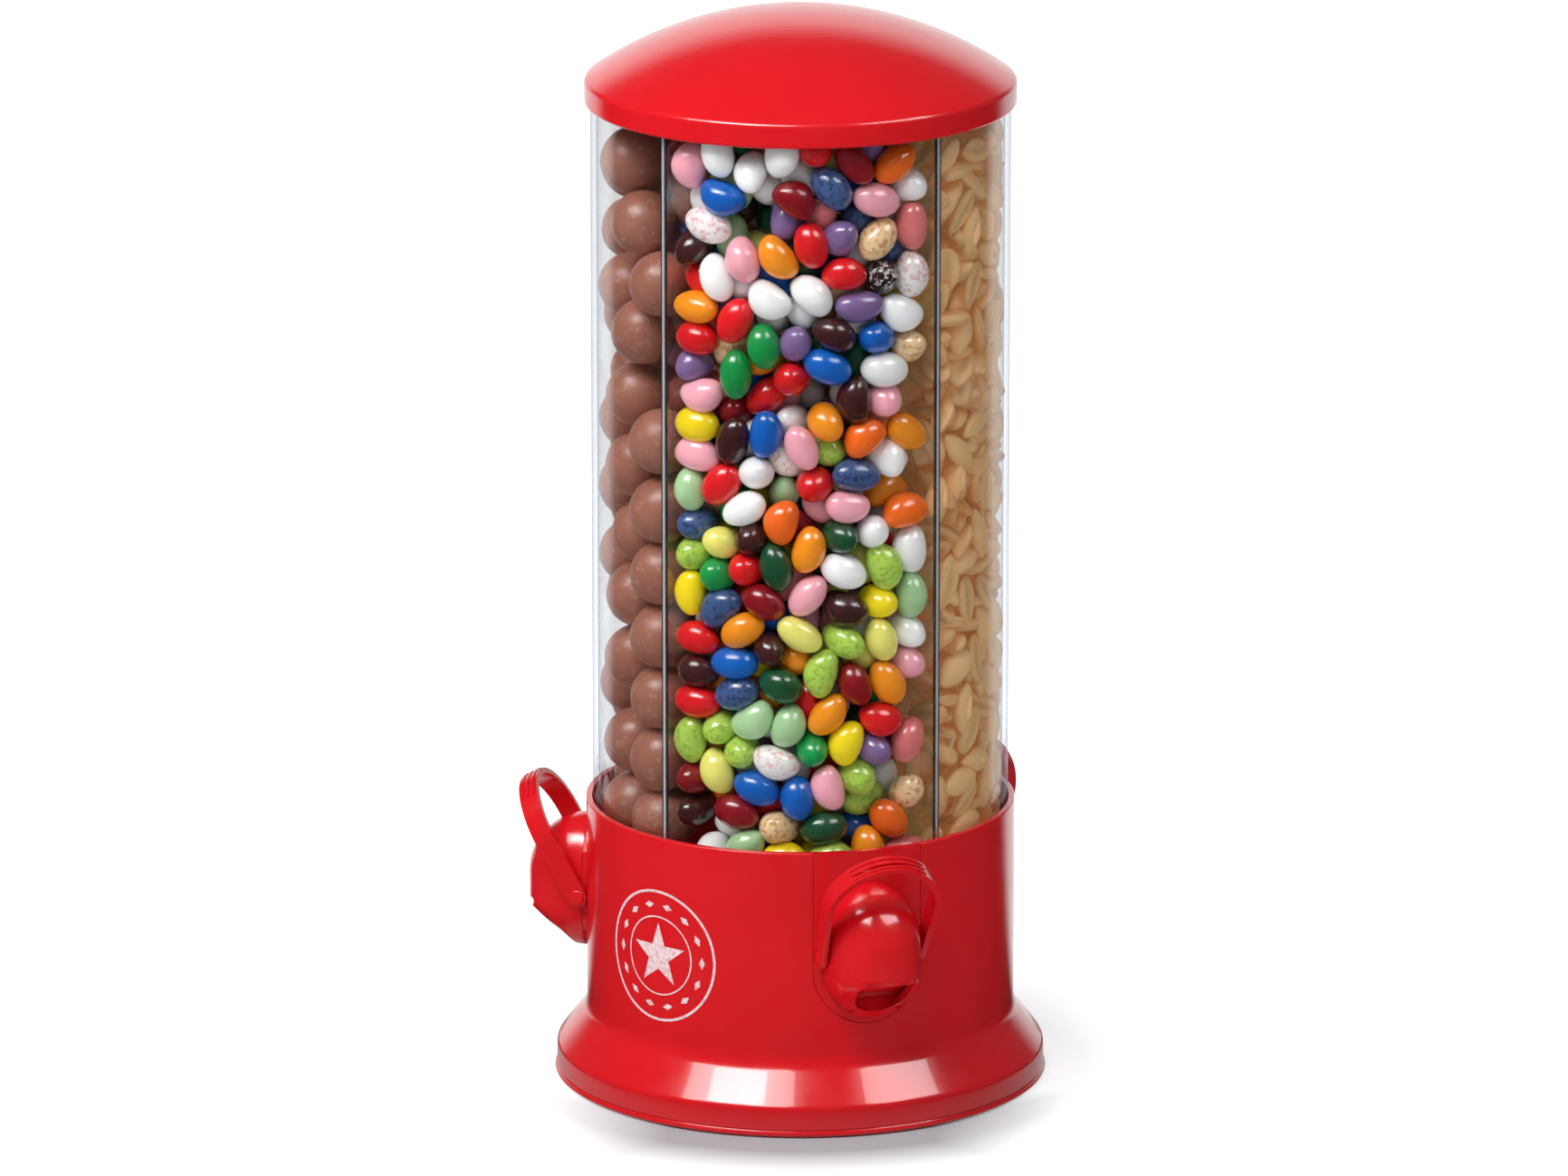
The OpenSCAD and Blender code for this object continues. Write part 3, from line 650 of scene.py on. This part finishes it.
def gate_face(place):
    """A smooth closing face on a drum gate. It turns with the lever inside the spout's pocket, whose
    radius is 12.9, and is made of rows of angle and radius about the pivot."""
    profile = [(-3, 12.8), (-8, 12.84), (-14, 12.84), (-20, 12.84), (-27, 12.84), (-34, 12.82), (-40, 12.8),
               (-46, 12.74), (-54, 12.66), (-64, 12.6), (-74, 12.6), (-84, 12.58)]
    half_widths = [(0.0, 0.0), (4.0, 0.0), (8.3, 0.0), (8.8, 0.16), (9.0, 0.45)]  # place and rounding
    widths = [(-u, inset) for u, inset in half_widths[:0:-1]] + half_widths
    inner = 12.2
    verts, faces = [], []
    for u, inset in widths:
        ring = [(a, r - inset) for a, r in profile]
        ring[0] = (profile[0][0] - inset * 3, ring[0][1])
        ring += [(a, inner) for a, _ in reversed(profile)]
        for a, r in ring:
            out = PIVOT_OUT + r * math.cos(math.radians(a))
            z = PIVOT_Z + r * math.sin(math.radians(a))
            centre = polar(SPOUTS[place], out)
            side = polar(SPOUTS[place] + 90, u)
            verts.append((centre.x + side.x, centre.y + side.y, z))
    n = 2 * len(profile)
    for k in range(len(widths) - 1):
        for i in range(n):
            j = (i + 1) % n
            faces.append((k * n + i, (k + 1) * n + i, (k + 1) * n + j, k * n + j))
    half = len(profile)
    for base in (0, (len(widths) - 1) * n):
        for i in range(half - 1):
            cell = (base + i, base + i + 1, base + n - 2 - i, base + n - 1 - i)
            faces.append(cell if base == 0 else cell[::-1])
    finish_piece(mesh_object("gate_face_" + place, verts, faces), RED, "lever_" + place)


# The hood, as part.scad has it: reach from the wall, half width, and heights of its full width and ends
HOOD_BASE, HOOD_OUT, HOOD_W = 73.4, 21.0, 16.1
HOOD_LOW, HOOD_HIGH, HOOD_UP, HOOD_DOWN = 57.0, 66.0, 20.0, 17.3
CUT_OUT, CUT_Z, CUT_R = 39.0, 24.4, 38.8  # the hollow curve that cuts the mouth
FULL = 2.3  # how full the plan is: 2 is an ellipse
# The opening: heights of its ends, half width, and how far out its top and bottom lie
MOUTH_TOP, MOUTH_LOW, MOUTH_W = 54.6, 42.6, 9.6
MOUTH_OUT = (18.8, 5.8)


def hood_size(z, skin):
    """Share of the hood's full plan at a height."""
    rise = (z - HOOD_HIGH) / (HOOD_UP + skin) if z > HOOD_HIGH else min(0.0, z - HOOD_LOW) / (HOOD_DOWN + skin)
    return math.sqrt(max(0.0, 1 - rise * rise))


def hood_point(turn, angle, skin):
    """Out, sideways and height on the hood. angle runs from 0 at the top to 180 at the bottom."""
    rise = math.cos(math.radians(angle))
    z = HOOD_HIGH + (HOOD_UP + skin) * rise if rise > 0 else HOOD_LOW + (HOOD_DOWN + skin) * rise
    size, c, d = math.sin(math.radians(angle)), max(0.0, math.cos(turn)), math.sin(turn)
    return ((HOOD_OUT + skin) * size * c ** (2 / FULL),
            math.copysign((HOOD_W + skin) * size * abs(d) ** (2 / FULL), d), z)


def inside_cut(q):
    """How deep a point of the hood lies in the mouth's hollow curve. Below 0 it is outside."""
    return CUT_R - math.hypot(q[0] - CUT_OUT, q[2] - CUT_Z)


def even(points, count):
    """The same line with evenly spaced points."""
    p = np.array(points)
    along = np.append(0, np.cumsum(np.linalg.norm(np.diff(p, axis=0), axis=1)))
    at = np.linspace(0, along[-1], count)
    return np.stack([np.interp(at, along, p[:, k]) for k in range(3)], 1)


def hood_skin(place):
    """The hood's smooth outer skin, the bevel round its mouth and the floor of the chute."""
    skin, columns, rows, low_rows = 0.25, 48, 40, 8
    bevel = (0, 0.03, 0.35, 0.7, 0.96, 1)  # shares of the way from the cut's edge to the opening
    edge_points, wall_depth = 49, 5.0
    verts, faces = [], []

    def put(q):
        a = polar(SPOUTS[place], HOOD_BASE + q[0])
        b = polar(SPOUTS[place] + 90, q[1])
        verts.append((a.x + b.x, a.y + b.y, q[2]))

    def grid(lines, flip=False):
        base, n = len(verts), len(lines[0])
        for line in lines:
            for q in line:
                put(q)
        for i in range(len(lines) - 1):
            for k in range(n - 1):
                a, b = base + i * n + k, base + (i + 1) * n + k
                faces.append((a, b, b + 1, a + 1) if flip else (a, a + 1, b + 1, b))

    upper, lower = [], []
    for i in range(columns + 1):
        turn = math.pi * (i / columns - 0.5)
        steps = [s / 4 for s in range(360, 720)]
        depth = [inside_cut(hood_point(turn, s, skin)) for s in steps]
        inside = [s for s, d in zip(steps, depth) if d > 0]
        first, last = (inside[0], inside[-1]) if inside else (steps[depth.index(max(depth))],) * 2
        upper.append([hood_point(turn, first * k / rows, skin) for k in range(rows + 1)])
        lower.append([hood_point(turn, last + (180 - last) * k / low_rows, skin) for k in range(low_rows + 1)])
    grid(upper)
    grid(lower)

    outer, inner = [], []
    for k in range(1201):
        z = 59.6 - 20.0 * k / 1200
        size = hood_size(z, skin)
        out = CUT_OUT - math.sqrt(CUT_R ** 2 - (z - CUT_Z) ** 2)
        if size > 0.02 and out < (HOOD_OUT + skin) * size:
            side = (HOOD_W + skin) * size * (1 - (out / ((HOOD_OUT + skin) * size)) ** FULL) ** (1 / FULL)
            outer.append((out, side, z))
    for end in (0, -1):
        outer.insert(0 if end == 0 else len(outer), (outer[end][0], 0.0, outer[end][2]))
    for k in range(13):
        inner.append((MOUTH_OUT[0], MOUTH_W * k / 12, MOUTH_TOP))
    for k in range(1, 61):
        f = math.sin(math.pi / 2 * k / 60)
        inner.append((MOUTH_OUT[0] + (MOUTH_OUT[1] - MOUTH_OUT[0]) * f, MOUTH_W * (1 - f ** 3.2) ** (1 / 2.2),
                      MOUTH_TOP + (MOUTH_LOW - MOUTH_TOP) * f))
    outer, inner = even(outer, edge_points), even(inner, edge_points)
    for flip in (False, True):
        sign = np.array([1, -1 if flip else 1, 1])
        grid([(outer * (1 - f) + inner * f) * sign for f in bevel], flip)
        grid([inner * sign, (inner - np.array([wall_depth, 0, 0])) * sign], flip)
    chute = ((1.6, 47.2), (2.4, 46.6), (3.4, 45.2), (4.6, 43.6), (5.7, MOUTH_LOW))
    grid([[(out, side, z) for out, z in chute] for side in (-MOUTH_W, -5, 0, 5, MOUTH_W)])
    finish_piece(mesh_object("hood_skin_" + place, verts, faces), RED, "root")


def pin_caps(place):
    """Low domes that cover the pin's ends on the lever's eyes."""
    rings = [(2.7, 0.0), (2.65, 0.22), (2.3, 0.42), (1.5, 0.54), (0.7, 0.58)]  # radius and height
    n, eye_out = 24, HOOD_W + 2.35
    for side in (-1, 1):
        verts, faces = [], []
        for r, h in rings:
            for i in range(n):
                a = 2 * math.pi * i / n
                centre = polar(SPOUTS[place], PIVOT_OUT + r * math.cos(a))
                out = polar(SPOUTS[place] + 90, side * (eye_out + h))
                verts.append((centre.x + out.x, centre.y + out.y, PIVOT_Z + r * math.sin(a)))
        for k in range(len(rings) - 1):
            for i in range(n):
                j = (i + 1) % n
                faces.append((k * n + i, k * n + j, (k + 1) * n + j, (k + 1) * n + i)[::side])
        faces.append(tuple(range(len(verts) - n, len(verts)))[::side])
        faces.append(tuple(range(n))[::-side])
        o = mesh_object("pin_cap_%s_%s" % (place, "right" if side > 0 else "left"), verts, faces)
        finish_piece(o, RED, "lever_" + place)


for place in SPOUTS:
    gate_face(place)
    hood_skin(place)
    pin_caps(place)

# ---------------------------------------------------------------- stage


LIGHT_AIM = (0, 0, 0.1)


def area_light(name, at, size_x, size_y, power, roll):
    """A soft rectangular light, turned towards the object and rolled about its own axis."""
    light = bpy.data.lights.new(name, "AREA")
    light.shape = "RECTANGLE"
    light.size, light.size_y, light.energy = size_x, size_y, power
    o = link(bpy.data.objects.new(name, light))
    o.location = at
    turn = (Vector(LIGHT_AIM) - Vector(at)).to_track_quat("-Z", "Y").to_matrix()
    o.rotation_euler = (turn @ Matrix.Rotation(math.radians(roll), 3, "Z")).to_euler()
    return o


def studio_world():
    """White where the camera sees it, dimmer as light, and in reflections bright only towards the back."""
    world = bpy.data.worlds.new("studio")
    world.use_nodes = True
    tree = world.node_tree
    path = tree.nodes.new("ShaderNodeLightPath")
    direction = tree.nodes.new("ShaderNodeSeparateXYZ")
    back = tree.nodes.new("ShaderNodeMapRange")
    for key, v in (("From Min", 0.78), ("From Max", 0.90), ("To Min", 0.08), ("To Max", 1.0)):
        back.inputs[key].default_value = v
    tree.links.new(tree.nodes.new("ShaderNodeTexCoord").outputs["Generated"], direction.inputs[0])
    tree.links.new(direction.outputs["Y"], back.inputs["Value"])
    glossy = tree.nodes.new("ShaderNodeMapRange")
    glossy.inputs["To Min"].default_value = AMBIENT
    tree.links.new(back.outputs["Result"], glossy.inputs["To Max"])
    seen = tree.nodes.new("ShaderNodeMath")
    seen.operation = "MAXIMUM"
    tree.links.new(path.outputs["Is Glossy Ray"], glossy.inputs["Value"])
    tree.links.new(path.outputs["Is Camera Ray"], seen.inputs[0])
    tree.links.new(glossy.outputs["Result"], seen.inputs[1])
    tree.links.new(seen.outputs[0], tree.nodes["Background"].inputs["Strength"])
    tree.nodes["Background"].inputs["Color"].default_value = (1, 1, 1, 1)
    bpy.context.scene.world = world


def stage():
    """The world, the floor, three soft lights and the camera."""
    studio_world()
    floor = mesh_object("floor", [(-6000, -6000, 0), (6000, -6000, 0), (6000, 9000, 0), (-6000, 9000, 0)],
                        [(0, 1, 2, 3)])
    floor.data.materials.append(floor_material())
    area_light("softbox_left", (-0.60, -0.69, 1.41), 1.25, 0.62, power=22, roll=12)
    core = area_light("softbox_left_core", (-0.60, -0.68, 1.38), 0.62, 0.30, power=8, roll=12)
    right = area_light("softbox_right", (0.92, -0.47, 1.33), 0.85, 0.62, power=13, roll=-12)
    core.visible_diffuse = right.visible_diffuse = False
    # The camera's place, tilt and lens were fitted to the rims, lid and foot in the photo
    camera = bpy.data.cameras.new("camera")
    camera.sensor_fit = "HORIZONTAL"
    camera.sensor_width, camera.lens = 36.0, 279.08
    camera.clip_end = 50
    o = link(bpy.data.objects.new("camera", camera))
    o.location = (-0.0056, -4.0, 1.2478)
    o.rotation_euler = (math.radians(90 - 15.08), 0, 0)
    bpy.context.scene.camera = o
    bpy.context.scene.view_settings.view_transform = "Standard"


stage()

bpy.context.view_layer.update()
